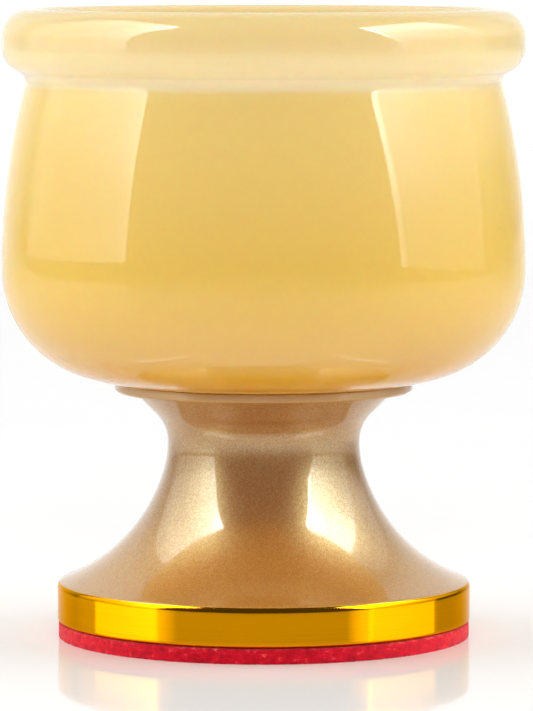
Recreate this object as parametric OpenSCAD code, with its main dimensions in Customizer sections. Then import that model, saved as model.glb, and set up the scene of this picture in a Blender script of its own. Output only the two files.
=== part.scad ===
// Offering cup: an opal glass bowl bonded to a metal tray, on a turned pedestal with a felt pad.
// Millimetres, +Z up, origin at the centre of the pad's underside. Every piece is turned about Z.

/* [Bowl] */
// Diameter of the bowl at its widest point
belly_d = 65.6; // [60:0.2:72]
// Height of the widest point above the ground foot
belly_h = 13.8; // [12:0.1:15]
// Radius of the tight bend between the underside and the widest point
knuckle_r = 13.76; // [11:0.02:16]
// Radius of the dished underside
underside_r = 81.76; // [60:0.02:120]
// Radius of the long arc of the side wall
side_r = 91; // [75:1:120]
// Thickness of the glass at the widest point
glass_t = 3; // [2:0.1:4]
// Thickness of the glass floor
floor_t = 3; // [2:0.1:5]
// Height of the bowl from its ground foot to the crest of the rim
bowl_h = 46.325; // [42:0.005:52]
// How far the outside of the rim bead lies inside the widest point
bead_inset = 0.05; // [-1:0.05:4]
// Radius of the bead's rounds
bead_r = 3.545; // [3:0.005:4.2]
// Upright band between the upper and the lower round of the bead
bead_band = 1.1; // [0.4:0.1:2]
// Radius of the groove between the bead and the wall
groove_r = 1.2; // [0.8:0.1:2.6]

/* [Tray] */
// Diameter of the tray under the bowl
tray_d = 37.4; // [34:0.2:42]
// Thickness of the tray
tray_t = 1.4; // [1.2:0.1:3]
// Chamfer on the edges of the tray
tray_chamfer = 0.25; // [0.1:0.05:0.5]
// Diameter of the spigot that centres the tray in the pedestal
spigot_d = 12; // [9:0.5:14]
// Length of the spigot
spigot_l = 4; // [3:0.1:6]
// Radial clearance between the spigot and its bore
spigot_clear = 0.05; // [0.02:0.01:0.2]
// Space between the end of the spigot and the floor of its bore
spigot_gap = 0.2; // [0.1:0.05:0.6]
// Metal left between the tapped hole and the top of the tray
skin_t = 1.1; // [0.6:0.1:1.4]
// Thickness of the clear adhesive between the tray and the bowl
bond_t = 0.1; // [0.05:0.05:0.5]
// Distance of the adhesive's edge from the edge of the contact
bond_inset = 1.5; // [0.5:0.1:4]

/* [Pedestal] */
// Height of the pedestal
pedestal_h = 28.9; // [26:0.1:40]
// Diameter of the polished band round the foot
foot_d = 51.9; // [46:0.1:58]
// Height of the polished band
band_h = 4.4; // [2:0.1:7]
// Width of the polished chamfer above the band
shoulder_w = 0.48; // [0.2:0.02:1.2]
// Height of the polished chamfer above the band
shoulder_h = 0.66; // [0.2:0.02:1.2]
// Chamfer at the lower edge of the foot
foot_chamfer = 0.25; // [0.1:0.05:0.8]
// Diameter of the neck
neck_d = 24.1; // [21:0.1:28]
// Height of the cove from the neck to the top of the pedestal
cove_h = 6.4; // [5.6:0.1:9]
// Radius of the cove above the neck
cove_r = 5; // [3:0.1:6]
// Diameter of the top of the pedestal
head_d = 32.8; // [28:0.2:35]
// Radius of the flare just under the neck
flare_r = 12.5; // [9:0.1:18]
// Height of that upper arc of the flare
flare_drop = 3.5; // [2:0.1:5]
// Diameter of the pocket under the foot that takes the screw's head
pocket_d = 16; // [12:0.5:18]
// Chamfer at the mouth of the pocket
pocket_chamfer = 0.5; // [0.2:0.1:1]

/* [Clamp screw] */
// Diameter of the screw's thread
screw_d = 5; // [4:0.5:6]
// Length of the screw below its head
screw_l = 12; // [10:0.5:18]
// Diameter of the screw's head
cap_d = 8.5; // [7.5:0.1:10]
// Height of the screw's head
cap_h = 5; // [3.5:0.1:6]
// Width across the flats of the hexagon socket
socket_w = 4; // [3:0.5:5]
// Depth of the hexagon socket
socket_h = 2.5; // [1.5:0.1:3]
// Chamfer at the tip of the screw
tip_chamfer = 0.5; // [0.2:0.1:1]
// Space between the tip of the screw and the end of the tapped hole
tip_gap = 0.5; // [0.2:0.1:0.8]
// Radial clearance of the thread in the tapped hole
thread_clear = 0.05; // [0.02:0.01:0.1]
// Radial clearance of the screw in the pedestal and the washers
screw_clear = 0.2; // [0.1:0.05:0.5]
// Diameter of the flat washer
washer_d = 10; // [9:0.5:12]
// Thickness of the flat washer
washer_t = 1; // [0.5:0.1:1.6]
// Diameter of the spring washer
spring_d = 9.2; // [8.5:0.1:10]
// Thickness of the spring washer
spring_t = 1.3; // [0.8:0.1:2]
// Width of the split in the spring washer
split_w = 0.6; // [0.3:0.1:1.2]
// Slant of the split
split_slant = 30; // [0:5:45]

/* [Foot pad] */
// Thickness of the felt pad
pad_t = 1.85; // [1:0.05:4]
// Distance of the pad's edge inside the edge of the foot
pad_inset = 0.1; // [0:0.05:2]
// Thickness of the double-sided film that holds the pad
film_t = 0.15; // [0.1:0.05:0.5]
// Distance of the film's edge inside the edge of the pad
film_inset = 1.5; // [0.5:0.1:5]

/* [Hidden] */

// Facets of the round profiles and of the turned solids in a preview
arc_fn = 360;
turn_fn = 120;
// Overlap that lets a round cross its neighbour cleanly where the two are nearly tangent
bite = 0.005;
// Reach past a face for cuts
over = 1;

// Levels of the stack, from the pad upwards
film_z = pad_t;
pedestal_z = film_z + film_t;
tray_z = pedestal_z + pedestal_h;
bond_z = tray_z + tray_t;
foot_z = bond_z + bond_t;
belly_z = foot_z + belly_h;

// Outside of the bowl
belly_r = belly_d / 2;
knuckle_c = [belly_r - knuckle_r, belly_z];
side_c = [belly_r - side_r, belly_z];
underside_c = [0, belly_z + sqrt(pow(underside_r - knuckle_r, 2) - pow(knuckle_c.x, 2))];
knuckle_axis = unit(knuckle_c - underside_c);
ground_r = sqrt(pow(underside_r, 2) - pow(underside_c.y - foot_z, 2));

// Rim bead, and the groove that is tangent to the bead and to the wall
bead_c = [belly_r - bead_inset - bead_r, foot_z + bowl_h - bead_r];
bead_low_c = bead_c - [0, bead_band];
groove_c = outer_meet(side_c, side_r + groove_r - 2 * bite, bead_low_c, bead_r + groove_r - bite);

// Inside of the bowl: flat floor, round corner and a long arc that is tangent to the bead
inner_r = belly_r - glass_t;
corner_r = belly_h - floor_t;
corner_c = [inner_r - corner_r, belly_z];
inside_top = bead_r - bite;
inside_start = inner_r - bite;
bead_step = bead_c.x - inside_start;
bead_rise = bead_c.y - belly_z;
inside_r = (pow(bead_step, 2) + pow(bead_rise, 2) - pow(inside_top, 2)) / (2 * (inside_top - bead_step));
inside_c = [inside_start - inside_r, belly_z];
mouth = bead_c + inside_top * unit(inside_c - bead_c);

// Tray and adhesive
bond_r = min(tray_d / 2, ground_r) - bond_inset;
tap_h = spigot_l + tray_t - skin_t;
thread_l = tap_h - tip_gap;
spigot_z = tray_z - spigot_l;

// Pedestal profile: shoulder, two tangent arcs of the flare, neck, cove
neck = [neck_d / 2, tray_z - cove_h];
shoulder = [foot_d / 2 - shoulder_w, pedestal_z + band_h + shoulder_h];
flare_c = neck + [flare_r, 0];
flare_normal = [sqrt(1 - pow(flare_drop / flare_r, 2)), flare_drop / flare_r];
flare_join = flare_c - flare_r * flare_normal;
flare_span = shoulder - flare_join;
foot_flare_r = (flare_span * flare_span) / (2 * (flare_span * flare_normal));
foot_flare_c = flare_join + foot_flare_r * flare_normal;
cove_c = neck + [cove_r, 0];
head = [head_d / 2, tray_z];
cove_end = cove_c + (cove_r - bite) * tangent_towards(head - cove_c, cove_r);

// Screw stack, hung from the spigot's tapped hole
bore_h = spigot_l + spigot_gap;
web_t = screw_l - washer_t - spring_t - spigot_gap - thread_l;
pocket_z = tray_z - bore_h - web_t;
washer_z = pocket_z - washer_t;
spring_z = washer_z - spring_t;
hole_r = screw_d / 2 + screw_clear;

// Pad and film
pad_r = foot_d / 2 - pad_inset;
film_r = pad_r - film_inset;

function unit(v) = v / norm(v);

// Meeting point, on the outer side, of two circles
function outer_meet(c1, r1, c2, r2) =
    let (
        d = norm(c2 - c1),
        along = unit(c2 - c1),
        x = (r1 * r1 - r2 * r2 + d * d) / (2 * d),
        y = sqrt(r1 * r1 - x * x)
    )
    c1 + x * along + y * [along.y, -along.x];

// Direction from a circle's centre to where a line from the point v touches it, on the axis side
function tangent_towards(v, r) =
    let (a = atan2(v.y, v.x) + acos(r / norm(v)))
    [cos(a), sin(a)];

// The four corners of a rectangle, from its lowest and its highest one
function box_outline(low, high) = [low, [high.x, low.y], high, [low.x, high.y]];

// The stretch of a disc that lies inside an outline
module disc_part(centre, radius, outline) {
    intersection() {
        translate(centre) circle(radius, $fn = arc_fn);
        polygon(outline);
    }
}

// A rectangle, from its lowest and its highest corner
module box2(low, high) {
    polygon(box_outline(low, high));
}

module turn() {
    rotate_extrude($fn = turn_fn) children();
}

module tube(outer_r, inner_r, h) {
    difference() {
        cylinder(r = outer_r, h = h, $fn = turn_fn);
        translate([0, 0, -over]) cylinder(r = inner_r, h = h + 2 * over, $fn = turn_fn);
    }
}

module bowl_outside() {
    shelf = knuckle_c - over * knuckle_axis;
    foot_edge = knuckle_c + (knuckle_r + over) * knuckle_axis;
    difference() {
        union() {
            disc_part(underside_c, underside_r - bite, [
                [0, shelf.y], shelf, foot_edge, [0, foot_edge.y - over]
            ]);
            translate(knuckle_c) circle(knuckle_r, $fn = arc_fn);
            disc_part(side_c, side_r - bite, box_outline([0, belly_z], [belly_r + over, bead_c.y]));
        }
        box2([0, 0], [belly_d, foot_z]);
    }
}

module rim_bead() {
    translate(bead_c) circle(bead_r, $fn = arc_fn);
    translate(bead_low_c) circle(bead_r, $fn = arc_fn);
    box2(bead_low_c, bead_c + [bead_r - bite, 0]);
}

module groove_fillet() {
    wall_side = groove_c + (groove_r + glass_t / 4) * unit(side_c - groove_c);
    bead_side = groove_c + (groove_r + bead_r / 4) * unit(bead_low_c - groove_c);
    difference() {
        polygon([wall_side, groove_c, bead_side, bead_low_c]);
        translate(groove_c) circle(groove_r, $fn = arc_fn);
    }
}

module bowl_cavity() {
    box2([0, foot_z + floor_t + bite], corner_c + [0, over]);
    translate(corner_c) circle(corner_r, $fn = arc_fn);
    disc_part(inside_c, inside_r, box_outline([0, belly_z], [belly_r, bead_c.y]));
    difference() {
        box2([0, mouth.y], bead_c + [0, bead_r + over]);
        translate(bead_c) circle(bead_r, $fn = arc_fn);
    }
}

module bowl() {
    color([0.91, 0.74, 0.38])
    turn() difference() {
        union() {
            bowl_outside();
            rim_bead();
            groove_fillet();
        }
        bowl_cavity();
    }
}

module bond_disc() {
    color([0.93, 0.93, 0.90])
    translate([0, 0, bond_z]) cylinder(r = bond_r, h = bond_t, $fn = turn_fn);
}

module tray() {
    rim_r = tray_d / 2;
    spigot_r = spigot_d / 2;
    color([0.74, 0.54, 0.32])
    difference() {
        turn() polygon([
            [0, spigot_z],
            [spigot_r - tip_chamfer, spigot_z],
            [spigot_r, spigot_z + tip_chamfer],
            [spigot_r, tray_z],
            [rim_r - tray_chamfer, tray_z],
            [rim_r, tray_z + tray_chamfer],
            [rim_r, bond_z - tray_chamfer],
            [rim_r - tray_chamfer, bond_z],
            [0, bond_z]
        ]);
        translate([0, 0, spigot_z - over])
            cylinder(r = screw_d / 2 + thread_clear, h = tap_h + over, $fn = turn_fn);
    }
}

module pedestal_profile() {
    foot_r = foot_d / 2;
    band_top = [foot_r, pedestal_z + band_h];
    difference() {
        polygon([
            [0, pedestal_z],
            [foot_r - foot_chamfer, pedestal_z],
            [foot_r, pedestal_z + foot_chamfer],
            band_top,
            2 * shoulder - band_top,
            flare_join + over * flare_normal,
            neck + [over, 0],
            cove_end,
            head,
            [0, tray_z]
        ]);
        disc_part(foot_flare_c, foot_flare_r - 2 * bite, [
            flare_join - over * flare_normal,
            foot_flare_c,
            [foot_flare_c.x, pedestal_z],
            [0, pedestal_z]
        ]);
        disc_part(flare_c, flare_r - bite, box_outline([0, pedestal_z], [flare_c.x, neck.y]));
        translate(cove_c) circle(cove_r, $fn = arc_fn);
    }
}

module pedestal() {
    color([0.76, 0.56, 0.30])
    difference() {
        turn() pedestal_profile();
        translate([0, 0, tray_z - bore_h])
            cylinder(r = spigot_d / 2 + spigot_clear, h = bore_h + over, $fn = turn_fn);
        translate([0, 0, pedestal_z]) cylinder(r = hole_r, h = pedestal_h, $fn = turn_fn);
        turn() polygon([
            [0, pedestal_z - over],
            [pocket_d / 2 + pocket_chamfer, pedestal_z - over],
            [pocket_d / 2 + pocket_chamfer, pedestal_z],
            [pocket_d / 2, pedestal_z + pocket_chamfer],
            [pocket_d / 2, pocket_z],
            [0, pocket_z]
        ]);
    }
}

module clamp_screw() {
    shank_r = screw_d / 2;
    socket_r = socket_w / sqrt(3);
    color([0.62, 0.63, 0.65])
    translate([0, 0, spring_z])
    difference() {
        turn() polygon([
            [0, -cap_h],
            [cap_d / 2 - tip_chamfer, -cap_h],
            [cap_d / 2, tip_chamfer - cap_h],
            [cap_d / 2, 0],
            [shank_r, 0],
            [shank_r, screw_l - tip_chamfer],
            [shank_r - tip_chamfer, screw_l],
            [0, screw_l]
        ]);
        translate([0, 0, -cap_h - over]) cylinder(r = socket_r, h = socket_h + over, $fn = 6);
    }
}

module spring_washer() {
    color([0.55, 0.56, 0.58])
    translate([0, 0, spring_z])
    difference() {
        tube(spring_d / 2, hole_r, spring_t);
        translate([0, spring_d / 2, spring_t / 2])
            rotate([0, split_slant, 0])
            cube([split_w, spring_d, 4 * spring_t], center = true);
    }
}

module flat_washer() {
    color([0.70, 0.71, 0.73])
    translate([0, 0, washer_z]) tube(washer_d / 2, hole_r, washer_t);
}

module pad_adhesive() {
    color([0.90, 0.88, 0.80])
    translate([0, 0, film_z]) cylinder(r = film_r, h = film_t, $fn = turn_fn);
}

module foot_pad() {
    color([0.72, 0.03, 0.12]) cylinder(r = pad_r, h = pad_t, $fn = turn_fn);
}

bowl();
bond_disc();
tray();
pedestal();
clamp_screw();
spring_washer();
flat_washer();
pad_adhesive();
foot_pad();
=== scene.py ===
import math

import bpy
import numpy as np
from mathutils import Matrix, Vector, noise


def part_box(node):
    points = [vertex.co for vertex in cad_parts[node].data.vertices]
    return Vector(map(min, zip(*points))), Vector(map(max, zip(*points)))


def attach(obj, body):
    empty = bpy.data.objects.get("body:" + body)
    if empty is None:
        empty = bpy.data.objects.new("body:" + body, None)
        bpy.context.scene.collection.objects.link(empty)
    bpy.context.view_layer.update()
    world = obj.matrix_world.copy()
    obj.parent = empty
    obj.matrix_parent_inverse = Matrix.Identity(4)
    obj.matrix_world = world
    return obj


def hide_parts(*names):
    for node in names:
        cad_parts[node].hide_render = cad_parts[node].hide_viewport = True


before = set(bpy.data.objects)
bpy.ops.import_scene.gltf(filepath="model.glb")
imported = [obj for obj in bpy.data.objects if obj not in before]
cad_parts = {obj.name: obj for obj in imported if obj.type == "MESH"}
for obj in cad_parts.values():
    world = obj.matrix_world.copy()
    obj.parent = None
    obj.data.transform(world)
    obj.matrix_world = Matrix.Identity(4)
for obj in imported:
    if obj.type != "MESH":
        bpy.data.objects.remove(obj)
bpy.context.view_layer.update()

# Offering cup: an opal glass bowl bonded to a gold tray, on a lacquered gold pedestal with a felt pad.
# The visible pieces are turned meshes that repeat the profiles of the CAD pieces. Profiles are in
# millimetres (radius, height), the scene is in metres, and levels and outer radii come from the frame.

scene = bpy.context.scene
MM = 0.001

# Fineness of the turned meshes
SEGMENTS = 384
PAD_SEGMENTS = 1200
FLOOR_SEGMENTS = 64
STEP = 0.45           # greatest length of a mesh edge along a profile
ARC_POINTS = 7        # least number of steps along an arc
EDGE_POINTS = 4       # steps round a worn edge
JOIN = 0.002          # points closer than this are one point
SHARP = math.radians(18)

# Bowl
KNUCKLE_R = 13.76
UNDERSIDE_R = 81.76
SIDE_R = 91.0
GLASS_T = 3.0
FLOOR_T = 3.0
BELLY_H = 13.8
BEAD_INSET = 0.05
BEAD_R = 3.545
BEAD_BAND = 1.1
GROOVE_R = 1.2

# Tray
TRAY_T = 1.4
TRAY_CHAMFER = 0.25
SPIGOT_R = 6.0
SPIGOT_CHAMFER = 0.5
SPIGOT_CLEAR = 0.05
SPIGOT_GAP = 0.2
TAP_R = 2.55
SKIN_T = 1.1

# Pedestal
BAND_H = 4.4
SHOULDER = (0.48, 0.66)
SHOULDER_RUN = 0.2    # how far the buffed round reaches past the chamfer
SHOULDER_POINTS = 16
SHOULDER_SHARE = 0.6  # the lower part of the round is polished, and the rest lacquered
FOOT_CHAMFER = 0.25
NECK_R = 12.05
COVE_H = 6.4
COVE_R = 5.0
HEAD_R = 16.4
FLARE_R = 12.5
FLARE_DROP = 3.5
POCKET_R = 8.0
POCKET_CHAMFER = 0.5
HOLE_R = 2.7
EDGE_R = 0.06         # wear on the edges of the metal

# Pad
PAD_EDGE_R = 0.15
FRAY_REACH = 0.8      # how far in from the cut edge the felt is roughened
FRAY_STEPS = 3        # mesh steps for each step of the edge's profile
FRAY_TRIM = 0.03      # how far the whole edge is set back
FRAY_MIDDLE = 0.6     # depth of the roughness half-way up the edge, as a share of that at its rims
FRAY_DROP = 0.05      # how far a dent or nick pulls the rims together
DENT_PITCH = 0.9      # dents per millimetre
DENT_DEPTH = 0.10
NICK_PITCH = 4.0
NICK_DEPTH = 0.05
PALE_RIM_H = 0.4         # height of the paler strip below the upper rim

# Studio, in metres
FLOOR_R = 1.36
WALL_DIRECTION = (-0.1, 1, 0.4)
WALL_LIGHT = 1.1      # radiance at eye level
WALL_TOP_LIGHT = 0.88
ROOM_LIGHT = 0.09


def node_sizes(node):
    """Bottom, top and outer radius of a CAD node, in millimetres."""
    low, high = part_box(node)
    return low.z / MM, high.z / MM, high.x / MM


foot_z, crest_z, belly_r = node_sizes("bowl")
spigot_z, bond_z, tray_r = node_sizes("tray")
pedestal_z, tray_z, foot_r = node_sizes("pedestal")
pad_z, pad_top, pad_r = node_sizes("foot_pad")
pocket_z = node_sizes("flat_washer")[1]


# Profiles

def heading(start, end):
    """Direction from one point to another, in degrees."""
    return math.degrees(math.atan2(end[1] - start[1], end[0] - start[0]))


def polar(centre, radius, angle):
    """The point at this distance and angle, in degrees, from the centre."""
    turn = math.radians(angle)
    return (centre[0] + radius * math.cos(turn), centre[1] + radius * math.sin(turn))


def between(start, end, count):
    """Points that divide a straight line into equal steps, both ends included."""
    return [tuple(a + (b - a) * i / count for a, b in zip(start, end)) for i in range(count + 1)]


def line(start, end):
    return between(start, end, max(1, math.ceil(math.dist(start, end) / STEP)))


def arc(centre, radius, start, end):
    """Points of an arc between two angles in degrees, both ends included."""
    length = abs(math.radians(end - start)) * radius
    count = max(ARC_POINTS, math.ceil(length / STEP))
    return [polar(centre, radius, start + (end - start) * i / count) for i in range(count + 1)]


def outer_meet(c1, r1, c2, r2):
    """Meeting point, on the outer side, of two circles."""
    d = math.dist(c1, c2)
    x = (r1 * r1 - r2 * r2 + d * d) / (2 * d)
    y = math.sqrt(r1 * r1 - x * x)
    along = ((c2[0] - c1[0]) / d, (c2[1] - c1[1]) / d)
    return (c1[0] + x * along[0] + y * along[1], c1[1] + x * along[1] - y * along[0])


def bend(start, corner, end, count):
    """A smooth turn that leaves the start towards the corner and arrives at the end from it."""
    return [
        tuple((1 - t) ** 2 * a + 2 * t * (1 - t) * b + t * t * c for a, b, c in zip(start, corner, end))
        for t in np.linspace(0, 1, count + 1).tolist()
    ]


def chain(corners, radius=EDGE_R):
    """Straight lines through the corners, each inner corner rounded a little."""
    points = [corners[0]]
    for before, corner, after in zip(corners, corners[1:], corners[2:]):
        start, end = (
            polar(corner, min(radius, math.dist(corner, p) / 3), heading(corner, p))
            for p in (before, after)
        )
        points += line(points[-1], start) + bend(start, corner, end, EDGE_POINTS)
    return points + line(points[-1], corners[-1])


def bowl_profile():
    belly_z = foot_z + BELLY_H
    knuckle = (belly_r - KNUCKLE_R, belly_z)
    underside = (0, belly_z + math.sqrt((UNDERSIDE_R - KNUCKLE_R) ** 2 - knuckle[0] ** 2))
    side = (belly_r - SIDE_R, belly_z)
    bead = (belly_r - BEAD_INSET - BEAD_R, crest_z - BEAD_R)
    bead_low = (bead[0], bead[1] - BEAD_BAND)
    groove = outer_meet(side, SIDE_R + GROOVE_R, bead_low, BEAD_R + GROOVE_R)
    ground = (math.sqrt(UNDERSIDE_R ** 2 - (underside[1] - foot_z) ** 2), foot_z)
    knuckle_start = heading(underside, knuckle)

    inner_r = belly_r - GLASS_T
    corner_r = BELLY_H - FLOOR_T
    corner = (inner_r - corner_r, belly_z)
    step, rise = bead[0] - inner_r, bead[1] - belly_z
    inside_r = (step ** 2 + rise ** 2 - BEAD_R ** 2) / (2 * (BEAD_R - step))
    inside = (inner_r - inside_r, belly_z)
    mouth = heading(inside, bead)

    return (
        line((0, foot_z), ground)
        + arc(underside, UNDERSIDE_R, heading(underside, ground), knuckle_start)
        + arc(knuckle, KNUCKLE_R, knuckle_start, 0)
        + arc(side, SIDE_R, 0, heading(side, groove))
        + arc(groove, GROOVE_R, 180 + heading(side, groove), heading(groove, bead_low))
        + arc(bead_low, BEAD_R, heading(bead_low, groove), 0)
        + arc(bead, BEAD_R, 0, 180 + mouth)
        + arc(inside, inside_r, mouth, 0)
        + arc(corner, corner_r, 0, -90)
        + line((corner[0], foot_z + FLOOR_T), (0, foot_z + FLOOR_T))
    )


def tray_profile():
    under = bond_z - TRAY_T
    tap_top = bond_z - SKIN_T
    return chain([
        (0, tap_top),
        (TAP_R, tap_top),
        (TAP_R, spigot_z),
        (SPIGOT_R - SPIGOT_CHAMFER, spigot_z),
        (SPIGOT_R, spigot_z + SPIGOT_CHAMFER),
        (SPIGOT_R, under),
        (tray_r - TRAY_CHAMFER, under),
        (tray_r, under + TRAY_CHAMFER),
        (tray_r, bond_z - TRAY_CHAMFER),
        (tray_r - TRAY_CHAMFER, bond_z),
        (0, bond_z),
    ])


def pedestal_runs():
    """The pedestal's closed profile, as runs of polished and of lacquered surface."""
    bore_r = SPIGOT_R + SPIGOT_CLEAR
    bore_z = spigot_z - SPIGOT_GAP
    band_top = (foot_r, pedestal_z + BAND_H)
    shoulder = (foot_r - SHOULDER[0], band_top[1] + SHOULDER[1])
    neck = (NECK_R, tray_z - COVE_H)
    flare = (neck[0] + FLARE_R, neck[1])
    lean = math.degrees(math.asin(FLARE_DROP / FLARE_R))
    join = polar(flare, FLARE_R, 180 + lean)
    span = (shoulder[0] - join[0], shoulder[1] - join[1])
    normal = polar((0, 0), 1, lean)
    foot_flare_r = (span[0] ** 2 + span[1] ** 2) / (2 * (span[0] * normal[0] + span[1] * normal[1]))
    foot_flare = polar(join, foot_flare_r, lean)
    cove = (neck[0] + COVE_R, neck[1])
    head = (HEAD_R, tray_z)
    cove_end = heading(cove, head) + math.degrees(math.acos(COVE_R / math.dist(cove, head)))

    # The chamfer above the band is buffed to a round that runs into the flare
    flare_start = heading(foot_flare, shoulder) % 360 - math.degrees(SHOULDER_RUN / foot_flare_r)
    edge = polar(foot_flare, foot_flare_r, flare_start)
    slope = math.tan(math.radians(flare_start - 90))
    rim = (foot_r, band_top[1] - SHOULDER_RUN)
    round_over = bend(rim, (foot_r, edge[1] + (foot_r - edge[0]) * slope), edge, SHOULDER_POINTS)
    cut = round(SHOULDER_POINTS * SHOULDER_SHARE)

    polished = chain([
        (POCKET_R, pocket_z),
        (POCKET_R, pedestal_z + POCKET_CHAMFER),
        (POCKET_R + POCKET_CHAMFER, pedestal_z),
        (foot_r - FOOT_CHAMFER, pedestal_z),
        (foot_r, pedestal_z + FOOT_CHAMFER),
        rim,
    ]) + round_over[:cut + 1]
    lacquered = (
        round_over[cut:]
        + arc(foot_flare, foot_flare_r, flare_start, 180 + lean)
        + arc(flare, FLARE_R, 180 + lean, 180)
        + arc(cove, COVE_R, 180, cove_end)
        + chain([polar(cove, COVE_R, cove_end), head, (bore_r, tray_z), (bore_r, bore_z),
                 (HOLE_R, bore_z), (HOLE_R, pocket_z), (POCKET_R, pocket_z)])
    )
    return [(1, polished), (0, lacquered)]


def pad_profile():
    """A disc with small steps along the cut edge, where it is roughened."""
    inner = pad_r - FRAY_REACH
    edge = chain(
        [(inner, pad_z), (pad_r, pad_z), (pad_r, pad_top), (inner, pad_top)], radius=PAD_EDGE_R
    )
    fine = [point for start, end in zip(edge, edge[1:]) for point in between(start, end, FRAY_STEPS)[:-1]]
    return [(0, pad_z), *fine, edge[-1], (0, pad_top)]


# Meshes

def lathe(name, runs, materials, segments=SEGMENTS, closed=False):
    """Turns a profile, given as runs of (material index, points), about the Z axis."""
    points, zones = [], []
    for zone, run in runs:
        for point in run:
            if points and math.dist(points[-1], point) < JOIN:
                continue
            if points:
                zones.append(zone)
            points.append(point)
    if closed and math.dist(points[-1], points[0]) < JOIN:
        points.pop()

    turns = np.linspace(0, 2 * math.pi, segments, endpoint=False)
    vertices, rings = [], []
    for r, z in points:
        if r < JOIN:
            rings.append([len(vertices)] * segments)
            vertices.append((0, 0, z * MM))
        else:
            rings.append(range(len(vertices), len(vertices) + segments))
            vertices += [(r * MM * math.cos(t), r * MM * math.sin(t), z * MM) for t in turns]

    faces, face_zones = [], []
    following = rings[1:] + rings[:1] if closed else rings[1:]
    for low, high, zone in zip(rings, following, zones):
        for i in range(segments):
            j = (i + 1) % segments
            corners = dict.fromkeys((low[i], low[j], high[j], high[i]))
            if len(corners) > 2:
                faces.append(tuple(corners))
                face_zones.append(zone)

    mesh = bpy.data.meshes.new(name)
    mesh.from_pydata(vertices, [], faces)
    for material in materials:
        mesh.materials.append(material)
    mesh.polygons.foreach_set("material_index", face_zones)
    mesh.polygons.foreach_set("use_smooth", [True] * len(faces))
    mesh.set_sharp_from_angle(angle=SHARP)
    mesh.update()
    piece = bpy.data.objects.new(name, mesh)
    scene.collection.objects.link(piece)
    return piece


def fray(piece):
    """Roughens the cut edge of the pad with dents and nicks, inwards only."""
    middle, half = (pad_z + pad_top) / 2, (pad_top - pad_z) / 2
    for vertex in piece.data.vertices:
        spot = vertex.co / MM
        radius = math.hypot(spot.x, spot.y)
        reach = 1 - (pad_r - radius) / FRAY_REACH
        if reach <= 0:
            continue
        dent = max(0.0, noise.fractal(spot * DENT_PITCH, 1.0, 2.0, 3, noise_basis="PERLIN_ORIGINAL"))
        nick = max(0.0, noise.noise(spot * NICK_PITCH, noise_basis="PERLIN_ORIGINAL"))
        near_rim = abs(spot.z - middle) / half
        depth = FRAY_TRIM + DENT_DEPTH * dent + NICK_DEPTH * nick
        inward = reach * depth * (FRAY_MIDDLE + (1 - FRAY_MIDDLE) * near_rim)
        upright = FRAY_DROP * reach * (dent + nick) * near_rim
        scale = (radius - inward) / radius
        vertex.co.x *= scale
        vertex.co.y *= scale
        vertex.co.z += (upright if spot.z < middle else -upright) * MM
    piece.data.update()


# Nodes

def add(tree, kind, settings=None, **inputs):
    """A new node. An input given as a socket is linked, and anything else is set as its value."""
    made = tree.nodes.new(kind)
    for key, value in (settings or {}).items():
        setattr(made, key, value)
    for key, value in inputs.items():
        put(tree, made, key.replace("_", " "), value)
    return made


def put(tree, made, name, value):
    """Links a socket to an input of a node, or sets the input's value."""
    socket = made.inputs[name]
    if isinstance(value, bpy.types.NodeSocket):
        tree.links.new(value, socket)
    else:
        socket.default_value = value


def math_node(tree, operation, *values):
    """The result of a calculation with sockets and numbers."""
    made = add(tree, "ShaderNodeMath", {"operation": operation})
    for index, value in enumerate(values):
        put(tree, made, index, value)
    return made.outputs[0]


def principled(tree, values):
    """A Principled shader, with the constant sockets set on the shader itself."""
    shader = add(tree, "ShaderNodeBsdfPrincipled")
    for name, value in values.items():
        put(tree, shader, name, value)
    return shader


def new_material(name):
    """A material that has only its output node, and that node's surface socket."""
    material = bpy.data.materials.new(name)
    material.use_nodes = True
    tree = material.node_tree
    tree.nodes.clear()
    return material, tree, add(tree, "ShaderNodeOutputMaterial").inputs["Surface"]


def plain_material(name, values):
    """A material of one Principled shader."""
    material, tree, surface = new_material(name)
    shader = principled(tree, values)
    tree.links.new(shader.outputs["BSDF"], surface)
    return material, tree, shader


def place(tree, stretch=(1, 1, 1)):
    """Object coordinates, stretched along the axes."""
    coordinates = add(tree, "ShaderNodeTexCoord")
    return add(tree, "ShaderNodeMapping", Vector=coordinates.outputs["Object"],
               Scale=stretch).outputs["Vector"]


def height(tree):
    """Height above the floor, in metres."""
    return add(tree, "ShaderNodeSeparateXYZ", Vector=place(tree)).outputs["Z"]


def grain(tree, size_mm, detail=2.0, stretch=(1, 1, 1), roughness=0.5):
    """Noise between 0 and 1 with features of about this size."""
    return add(tree, "ShaderNodeTexNoise", Vector=place(tree, stretch), Scale=1 / (size_mm * MM),
               Detail=detail, Roughness=roughness).outputs["Fac"]


def ramp(tree, factor, stops):
    """Colour by a factor: stops are (position, colour)."""
    made = add(tree, "ShaderNodeValToRGB", Fac=factor)
    elements = made.color_ramp.elements
    while len(elements) < len(stops):
        elements.new(0.5)
    for element, (position, colour) in zip(elements, stops):
        element.position = position
        element.color = (*colour, 1)
    return made.outputs["Color"]


def spread(tree, factor, low, high, ease=(0.3, 0.7)):
    """The part of the factor between the two values of ease, mapped to the range from low to high."""
    return add(tree, "ShaderNodeMapRange", Value=factor, From_Min=ease[0], From_Max=ease[1],
               To_Min=low, To_Max=high).outputs["Result"]


def bump(tree, relief, depth_mm, strength=1.0):
    return add(tree, "ShaderNodeBump", Height=relief, Distance=depth_mm * MM,
               Strength=strength).outputs["Normal"]


# Materials

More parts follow.
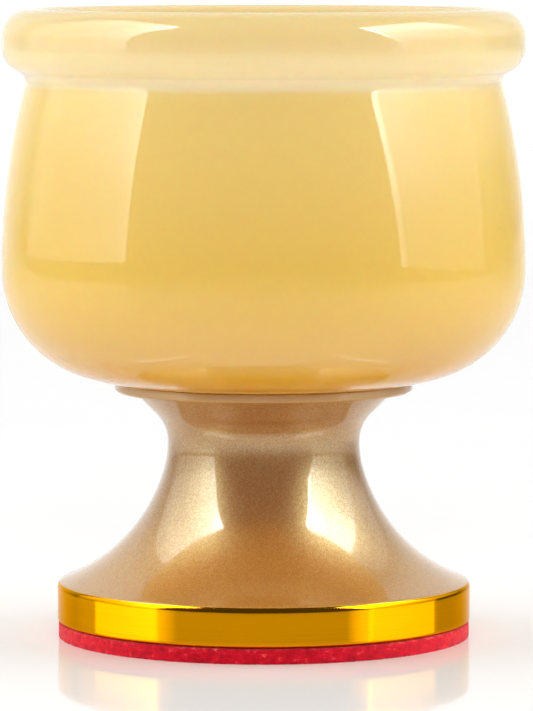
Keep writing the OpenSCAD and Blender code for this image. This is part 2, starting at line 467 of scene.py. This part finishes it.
def opal_glass():
    """Butter-yellow opal glass, milkier towards the rolled rim, with a painted reflection of the gold at
    the foot and a painted highlight under the bead.
    """
    material, tree, shader = plain_material("opal_glass", {
        "Subsurface Weight": 1.0,
        "Subsurface Radius": (1.0, 0.6, 0.25),
        "Subsurface Scale": 6 * MM,
        "IOR": 1.5,
    })
    milk_and_painted_light = spread(tree, height(tree), 0, 1, ease=(foot_z * MM, crest_z * MM))
    clouds = spread(tree, grain(tree, 14, detail=3), -0.003, 0.003)
    # Colour by height holds painted light: the deeper, darker amber at the foot is a painted reflection
    # of the gold tray and stem, and the pale band from the groove up under the bead is partly the milkier
    # bead and partly a painted highlight that lifts the shade there.
    put(tree, shader, "Base Color", ramp(tree, math_node(tree, "ADD", milk_and_painted_light, clouds), [
        (0.0, (0.71, 0.36, 0.015)), (0.045, (0.72, 0.41, 0.045)), (0.1, (0.75, 0.50, 0.15)),
        (0.3, (0.78, 0.545, 0.115)), (0.76, (0.81, 0.62, 0.22)), (0.79, (0.83, 0.65, 0.26)),
        (0.8, (0.86, 0.74, 0.43)), (0.825, (0.90, 0.79, 0.50)), (0.845, (0.84, 0.71, 0.40)),
        (0.93, (0.79, 0.64, 0.31))]))
    put(tree, shader, "Roughness", spread(tree, grain(tree, 9, detail=4), 0.02, 0.05))
    put(tree, shader, "Normal", bump(tree, grain(tree, 22, detail=0), 0.01))
    return material


def lacquered_gold(name, flake_mm, share, zone):
    """Gold flakes in orange-brown paint under a clear gloss lacquer.

    share is the least and most of the surface that flakes take. The paint is painted darkest in the
    middle of the zone, which is two heights in millimetres, as painted shade where the bowl shades the
    stem, and lighter towards both ends as painted light on the flare and the neck."""
    lacquer = {
        "Coat Weight": 1.0,
        "Coat Roughness": 0.07,
        "Coat IOR": 1.65,
    }
    material, tree, surface = new_material(name)
    paint = principled(tree, {**lacquer, "Roughness": 0.6, "Specular IOR Level": 0.2})
    flakes = principled(tree, {**lacquer, "Metallic": 1.0, "Specular Tint": (0.95, 0.88, 0.7, 1)})
    cells = add(tree, "ShaderNodeTexVoronoi", Vector=place(tree), Scale=1 / (flake_mm * MM))
    glints = add(tree, "ShaderNodeSeparateColor", Color=cells.outputs["Color"])
    level = spread(tree, height(tree), 0, 1, ease=[z * MM for z in zone])
    clouds = spread(tree, grain(tree, 0.5, detail=3), -0.06, 0.06)
    # Painted light and shade: the paint is lighter at the flare and the neck and darker in the middle of
    # the stem, where the bowl shades it.
    put(tree, paint, "Base Color", ramp(tree, math_node(tree, "ADD", level, clouds), [
        (0.0, (0.45, 0.16, 0.012)), (0.4, (0.25, 0.062, 0.006)), (0.75, (0.25, 0.062, 0.006)),
        (0.95, (0.35, 0.088, 0.007))]))
    put(tree, flakes, "Base Color", ramp(tree, glints.outputs["Red"], [
        (0.0, (0.78, 0.69, 0.28)), (1.0, (0.87, 0.83, 0.42))]))
    put(tree, flakes, "Roughness", spread(tree, glints.outputs["Green"], 0.32, 0.43, ease=(0, 1)))
    put(tree, flakes, "Normal", bump(tree, grain(tree, 0.3, detail=2), 0.02, 0.6))
    flake_share = spread(tree, glints.outputs["Blue"], *share, ease=(0, 1))
    both = add(tree, "ShaderNodeMixShader", Fac=flake_share)
    tree.links.new(paint.outputs["BSDF"], both.inputs[1])
    tree.links.new(flakes.outputs["BSDF"], both.inputs[2])
    tree.links.new(both.outputs["Shader"], surface)
    return material


def polished_gold():
    """Gold that was turned to a mirror finish, with the fine rings of the tool."""
    material, tree, shader = plain_material("polished_gold", {
        "Metallic": 1.0,
        "Specular Tint": (0.95, 0.72, 0.4, 1),
    })
    rings = grain(tree, 1.0, stretch=(0.02, 0.02, 12))
    put(tree, shader, "Base Color", ramp(tree, rings, [
        (0.3, (0.70, 0.285, 0.0004)), (0.7, (0.75, 0.32, 0.0006))]))
    put(tree, shader, "Roughness", spread(tree, rings, 0.07, 0.13))
    put(tree, shader, "Normal", bump(tree, rings, 0.001, 0.5))
    return material


def red_felt():
    """Crimson felt whose cut edge is mottled with pale scuffs, and paler along its upper rim."""
    material, tree, shader = plain_material("red_felt", {
        "Sheen Weight": 0.7,
        "Sheen Roughness": 0.35,
        "Sheen Tint": (1.0, 0.28, 0.25, 1),
        "Specular IOR Level": 0.2,
        "Roughness": 0.9,
    })
    mottle = grain(tree, 0.7, detail=5, stretch=(0.7, 0.7, 0.9), roughness=0.7)
    rim = spread(tree, height(tree), 0.0, 0.07, ease=((pad_top - PALE_RIM_H) * MM, pad_top * MM))
    put(tree, shader, "Base Color", ramp(tree, math_node(tree, "ADD", mottle, rim), [
        (0.32, (0.34, 0.0, 0.007)), (0.47, (0.55, 0.0, 0.014)), (0.60, (0.66, 0.002, 0.020)),
        (0.67, (0.76, 0.08, 0.08)), (0.75, (0.86, 0.28, 0.24))]))
    put(tree, shader, "Normal", bump(tree, grain(tree, 0.25, detail=4), 0.08, 0.7))
    return material


def zinc_steel():
    material, tree, shader = plain_material("zinc_steel", {"Metallic": 1.0})
    patches = grain(tree, 1.5, detail=4)
    put(tree, shader, "Base Color", ramp(tree, patches, [
        (0.3, (0.48, 0.49, 0.52)), (0.7, (0.66, 0.67, 0.70))]))
    put(tree, shader, "Roughness", spread(tree, patches, 0.25, 0.4))
    return material


def adhesive(name, colour, roughness):
    material, tree, shader = plain_material(name, {})
    streaks = grain(tree, 3, detail=3, stretch=(1, 0.3, 1))
    put(tree, shader, "Base Color", ramp(tree, streaks, [
        (0.3, tuple(0.92 * c for c in colour)), (0.7, colour)]))
    put(tree, shader, "Roughness", spread(tree, streaks, 0.8 * roughness, 1.2 * roughness))
    return material


def glossy_floor():
    material, tree, shader = plain_material("studio_floor", {
        "Roughness": 0.06,
        "IOR": 1.13,
    })
    put(tree, shader, "Base Color", ramp(tree, grain(tree, 60, detail=3), [
        (0.3, (0.93, 0.93, 0.93)), (0.7, (0.95, 0.95, 0.95))]))
    return material


# Pieces

def dress(piece, node):
    """Puts a piece on the part's body, in the place of a CAD node."""
    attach(piece, "root")
    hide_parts(node)
    return piece


gold = lacquered_gold("lacquered_gold", 0.1, (0.13, 0.42), (8, 28))
fine_gold = lacquered_gold("fine_gold", 0.03, (0.12, 0.28), (40, 50))
dress(lathe("bowl_glass", [(0, bowl_profile())], [opal_glass()]), "bowl")
dress(lathe("tray_gold", [(0, tray_profile())], [fine_gold]), "tray")
dress(
    lathe("pedestal_gold", pedestal_runs(), [gold, polished_gold()], closed=True),
    "pedestal",
)
pad = dress(lathe("pad_felt", [(0, pad_profile())], [red_felt()], PAD_SEGMENTS), "foot_pad")
fray(pad)

# The CAD pieces that are hidden inside keep their meshes
steel = zinc_steel()
for node, material in {
    "clamp_screw": steel,
    "spring_washer": steel,
    "flat_washer": steel,
    "bond_disc": adhesive("clear_adhesive", (0.90, 0.88, 0.80), 0.2),
    "pad_adhesive": adhesive("adhesive_film", (0.88, 0.86, 0.78), 0.6),
}.items():
    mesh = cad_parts[node].data
    mesh.materials.clear()
    mesh.materials.append(material)


# Studio

floor = lathe("studio_floor", [(0, [(0, 0), (FLOOR_R / MM, 0)])], [glossy_floor()], FLOOR_SEGMENTS)


def area_light(name, location, rotation, size, radiance, reflected=False):
    """A flat light that the camera doesn't see. If reflected, it only shows in reflections, and
    otherwise it only lights surfaces."""
    data = bpy.data.lights.new(name, "AREA")
    data.shape = "RECTANGLE"
    data.size, data.size_y = size
    data.energy = radiance * math.pi * size[0] * size[1]
    lamp = bpy.data.objects.new(name, data)
    lamp.location = location
    lamp.rotation_euler = [math.radians(angle) for angle in rotation]
    lamp.visible_camera = False
    lamp.visible_glossy = reflected
    lamp.visible_diffuse = not reflected
    scene.collection.objects.link(lamp)
    return lamp


def softbox(name, centre, width, low, high, facing, across, upward, roll=0, lean=0, lean_to=1.0):
    """The front of a softbox or a card, as reflections show it, with uneven light.

    facing turns it about Z, and roll in its own plane. lean slants its upright edges up to the share
    lean_to of its height. across and upward are stops along its width and its height: those of across
    are (place, radiance), and those of upward (place, factor)."""
    lamp = area_light(name, (*centre, (low + high) / 2), (90, roll, facing), (width, high - low), 1,
                      reflected=True)
    lamp.data.use_nodes = True
    tree = lamp.data.node_tree
    point = add(tree, "ShaderNodeSeparateXYZ",
                Vector=add(tree, "ShaderNodeNewGeometry").outputs["Parametric"]).outputs
    slant_height = math_node(tree, "MINIMUM", point["Y"], lean_to)
    slanted = math_node(tree, "MULTIPLY_ADD", slant_height, lean, point["X"])
    levels = [
        ramp(tree, spot, [(at, (level, level, level)) for at, level in stops])
        for spot, stops in ((slanted, across), (point["Y"], upward))
    ]
    put(tree, tree.nodes["Emission"], "Strength", math_node(tree, "MULTIPLY", *levels))


def light_only(piece, lamp):
    """Keeps a light to one piece."""
    receivers = bpy.data.collections.new(lamp.name + "_receivers")
    receivers.objects.link(piece)
    lamp.light_linking.receiver_collection = receivers


# What the glass and the gold reflect
softbox("left_softbox", (-0.81, -0.075), width=1.35, low=0.025, high=1.6, facing=-90,
        across=[(0.0, 0.45), (0.05, 0.55), (0.06, 0.75), (0.31, 0.95), (0.45, 1.35), (0.59, 2.0),
                (0.66, 2.4), (0.735, 3.0), (0.76, 3.6), (0.768, 0.0)],
        upward=[(0.0, 0.88), (0.1, 0.98), (0.15, 1.5), (0.2, 1.75), (0.35, 2.1), (0.6, 3.5),
                (0.75, 5.4)],
        roll=-1.4, lean=-0.168)
softbox("right_softbox", (0.77, -0.275), width=1.15, low=0.02, high=1.2, facing=90,
        across=[(0.376, 0.0), (0.3835, 3.3), (0.426, 3.2), (0.432, 1.7), (0.584, 1.45), (0.67, 1.25),
                (0.755, 1.0), (0.913, 0.7)],
        upward=[(0.0, 0.7), (0.05, 0.78), (0.1, 0.9), (0.16, 1.6), (0.229, 2.2), (0.322, 3.2),
                (0.49, 4.1), (0.7, 7.2)],
        roll=1.63, lean=0.3575, lean_to=0.35)
softbox("right_back", (0.77, 0.475), width=0.85, low=0.14, high=1.2, facing=90,
        across=[(0.0, 0.6), (0.3, 1.1), (0.6, 0.75), (1.0, 0.5)],
        upward=[(0.0, 0.3), (0.12, 1.1), (0.9, 0.8)])
softbox("left_card", (-0.02675, -0.02195), width=0.0237, low=0.0001, high=0.0075, facing=-58.7,
        across=[(0.0, 1.2), (0.75, 1.15), (1.0, 0.1)],
        upward=[(0.7, 1.0), (1.0, 0.2)])
softbox("right_card", (0.02643, -0.02184), width=0.0254, low=0.0001, high=0.0075, facing=58.8,
        across=[(0.0, 0.1), (0.14, 1.0), (1.0, 1.05)],
        upward=[(0.7, 1.0), (1.0, 0.2)])
area_light("right_top", (0.765, 0.1, 0.78), (90, 0, 90), (0.36, 0.5), 1.8, reflected=True)

# What lights the pad's sides, the far floor, and the whole set
for name, side, radiance in (("left_bounce", -1, 0.75), ("right_bounce", 1, 1.25)):
    light_only(pad, area_light(
        name, (side * 0.036, -0.0178, 0.008), (90, 0, side * 63.7), (0.025, 0.015), radiance))
light_only(floor, area_light("floor_wash", (0, 1.15, 0.35), (0, 0, 0), (2.4, 0.6), 0.8))
for name, side in (("left_key", -1), ("right_key", 1)):
    area_light(name, (side * 0.7, 0.05, 0.7), (90, 0, side * 90), (1.0, 1.3), 2.1)
area_light("front_fill", (0.0, -1.1, 0.55), (65, 0, 0), (0.8, 0.8), 3.0)
area_light("overhead", (0.0, 0.0, 1.3), (0, 0, 0), (1.2, 1.2), 0.43)


def studio_world():
    """A bright wall behind the cup that arches over it, and a dark room on the camera's side."""
    world = bpy.data.worlds.new("studio")
    world.use_nodes = True
    tree = world.node_tree
    tree.nodes.clear()
    direction = add(tree, "ShaderNodeTexCoord").outputs["Generated"]
    towards = add(tree, "ShaderNodeVectorMath", {"operation": "DOT_PRODUCT"})
    put(tree, towards, 0, direction)
    put(tree, towards, 1, WALL_DIRECTION)
    rise = add(tree, "ShaderNodeSeparateXYZ", Vector=direction).outputs["Z"]
    wall = spread(tree, rise, WALL_LIGHT, WALL_TOP_LIGHT, ease=(0.05, 0.35))
    glow = spread(tree, towards.outputs["Value"], ROOM_LIGHT, wall, ease=(0.68, 0.97))
    sky = add(tree, "ShaderNodeBackground", Color=(1, 1, 1, 1), Strength=glow)
    output = add(tree, "ShaderNodeOutputWorld")
    tree.links.new(sky.outputs["Background"], output.inputs["Surface"])
    return world


scene.world = studio_world()
scene.view_settings.view_transform = "Standard"

# The camera was fitted to the ellipses of the rim, tray, band and pad in the photo
camera_data = bpy.data.cameras.new("camera")
camera_data.lens = 249.1
camera_data.sensor_width = 36
camera = bpy.data.objects.new("camera", camera_data)
camera.location = (0.00035, -0.615, 0.0894)
camera.rotation_euler = (math.radians(84.97), 0, 0)
scene.collection.objects.link(camera)
scene.camera = camera
